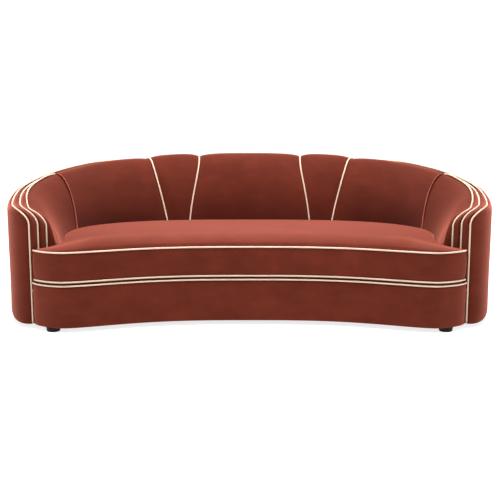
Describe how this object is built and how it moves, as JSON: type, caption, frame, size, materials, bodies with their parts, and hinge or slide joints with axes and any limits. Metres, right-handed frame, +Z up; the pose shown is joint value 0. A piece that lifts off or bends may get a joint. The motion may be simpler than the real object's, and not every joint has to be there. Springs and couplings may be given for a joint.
{
  "type": "sofa",
  "caption": "Curved tub sofa in brown-red velvet with cream piping, layered wrap-around arms, a sewn panel back and one loose boxed seat cushion on low round feet.",
  "frame": {"origin": "centre of the footprint at floor level", "axes": "+X to the right of someone who faces the sofa, -Y out of its front, +Z up"},
  "size_m": [2.52, 1.047, 0.804],
  "materials": {
    "velvet_outer": "short-pile velvet, brown red",
    "velvet_layers": "short-pile velvet, brown red",
    "velvet_inner": "short-pile velvet, brown red",
    "velvet_back": "short-pile velvet, brown red",
    "velvet_cushion": "short-pile velvet, brown red",
    "velvet_base": "short-pile velvet, brown red",
    "velvet_piping": "thin self-coloured piping",
    "cream_piping": "cream covered cord, woven",
    "cushion_foam": "seat foam, open cell",
    "deck_cloth": "deck pad under plain cloth",
    "webbing": "elastic upholstery webbing",
    "dust_cloth": "black spun dust cloth",
    "birch_plywood": "unfinished birch plywood and rails",
    "black_foot": "turned wood, stained near black",
    "zinc_steel": "zinc plated"
  },
  "bodies": {
    "sofa_body": {"seat_board": "birch_plywood", "front_rail": "birch_plywood", "rear_rail": "birch_plywood", "side_rail_left": "birch_plywood", "side_rail_right": "birch_plywood", "cross_rails": "birch_plywood", "foot_blocks": "birch_plywood", "arm_frame_left": "birch_plywood", "arm_frame_right": "birch_plywood", "arm_posts_left": "birch_plywood", "arm_posts_right": "birch_plywood", "back_top_rail": "birch_plywood", "back_posts": "birch_plywood", "webbing_across": "webbing", "webbing_lengthwise": "webbing", "deck_pad": "deck_cloth", "front_border": "velvet_base", "deck_piping": "cream_piping", "dust_cover": "dust_cloth", "outer_arm_left": "velvet_outer", "outer_arm_right": "velvet_outer", "outer_back": "velvet_outer", "arm_layer_middle_left": "velvet_layers", "arm_layer_middle_right": "velvet_layers", "arm_layer_inner_left": "velvet_layers", "arm_layer_inner_right": "velvet_layers", "inner_arm_left": "velvet_inner", "inner_arm_right": "velvet_inner", "back_panel_middle": "velvet_back", "back_panel_wedge_left": "velvet_back", "back_panel_wedge_right": "velvet_back", "back_panel_wide_left": "velvet_back", "back_panel_wide_right": "velvet_back", "piping_outer_left": "cream_piping", "piping_outer_right": "cream_piping", "piping_rear": "cream_piping", "piping_middle_left": "cream_piping", "piping_middle_right": "cream_piping", "piping_inner_left": "cream_piping", "piping_inner_right": "cream_piping", "piping_back_seams": "cream_piping", "piping_corner_left": "velvet_piping", "piping_corner_right": "velvet_piping", "foot_front_left": "black_foot", "foot_front_right": "black_foot", "foot_rear_left": "black_foot", "foot_rear_right": "black_foot", "foot_studs": "zinc_steel", "tee_nuts": "zinc_steel"},
    "seat_cushion": {"cushion_core": "cushion_foam", "cushion_boxing": "velvet_cushion", "cushion_top_panel": "velvet_cushion", "cushion_bottom_panel": "velvet_cushion", "cushion_piping_top": "cream_piping", "cushion_piping_bottom": "cream_piping"}
  },
  "joints": [
    {"name": "cushion_lift", "type": "slide", "parent": "sofa_body", "child": "seat_cushion", "axis": [0, 0, 1], "range_m": [0, 0.6]}
  ]
}
